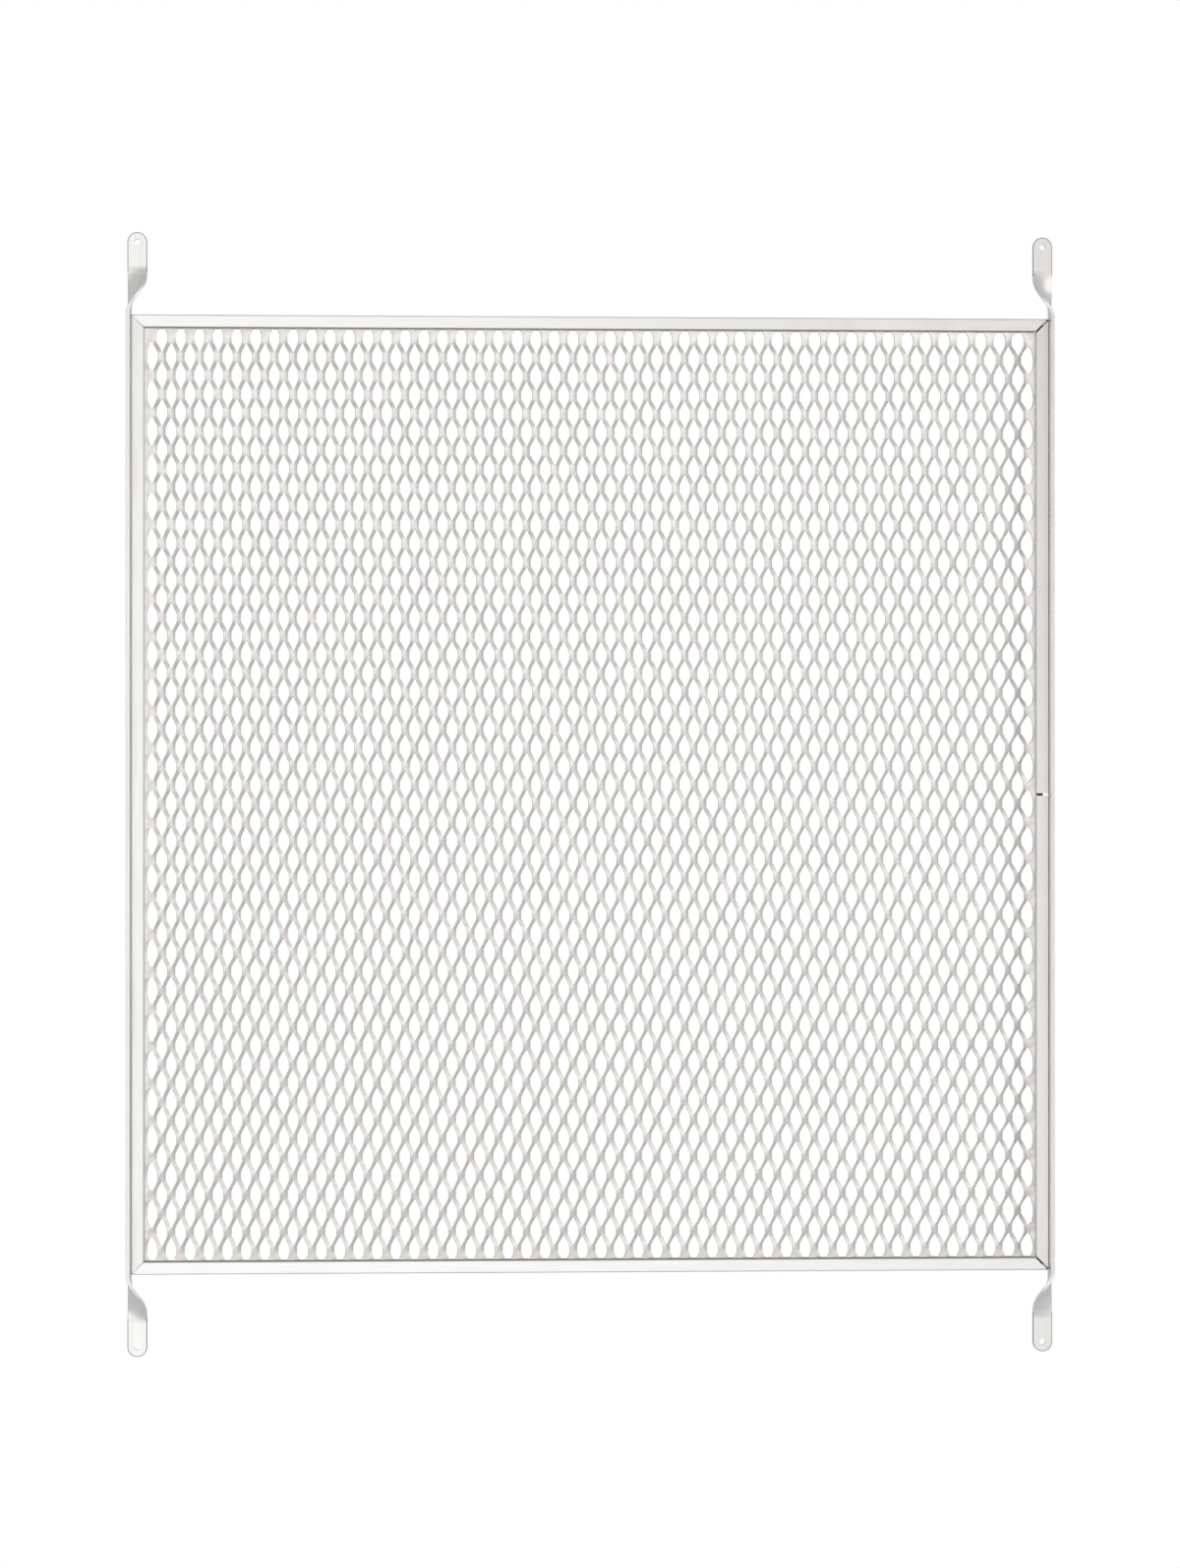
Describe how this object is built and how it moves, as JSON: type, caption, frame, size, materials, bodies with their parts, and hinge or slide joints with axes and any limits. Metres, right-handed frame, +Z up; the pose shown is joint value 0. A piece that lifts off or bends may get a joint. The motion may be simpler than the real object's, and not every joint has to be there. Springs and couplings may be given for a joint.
{
  "type": "screen door guard grille",
  "caption": "Upright rectangular guard of raised aluminium mesh in a folded edge channel, held between two flat bars whose twisted ends are screw tabs.",
  "frame": {"origin": "middle of the rectangle of the four screw holes, on the back plane that lies against the door", "axes": "+Z up along the bars, +X across the grille to the right as seen from the front, +Y from the front towards the door"},
  "size_m": [0.7578, 0.0161, 0.9144],
  "materials": {
    "mesh_metal": "bright mill finish",
    "channel_metal": "bright mill finish, drawn lengthwise",
    "bar_metal": "satin mill finish, drawn lengthwise",
    "rivet_metal": "satin",
    "stem_metal": "plain, broken end"
  },
  "bodies": {
    "root": {"mesh_panel": "mesh_metal", "edge_channel": "channel_metal", "left_mounting_bar": "bar_metal", "right_mounting_bar": "bar_metal", "left_rivet_1": "rivet_metal", "left_rivet_stem_1": "stem_metal", "left_rivet_2": "rivet_metal", "left_rivet_stem_2": "stem_metal", "left_rivet_3": "rivet_metal", "left_rivet_stem_3": "stem_metal", "left_rivet_4": "rivet_metal", "left_rivet_stem_4": "stem_metal", "right_rivet_1": "rivet_metal", "right_rivet_stem_1": "stem_metal", "right_rivet_2": "rivet_metal", "right_rivet_stem_2": "stem_metal", "right_rivet_3": "rivet_metal", "right_rivet_stem_3": "stem_metal", "right_rivet_4": "rivet_metal", "right_rivet_stem_4": "stem_metal"}
  },
  "joints": []
}
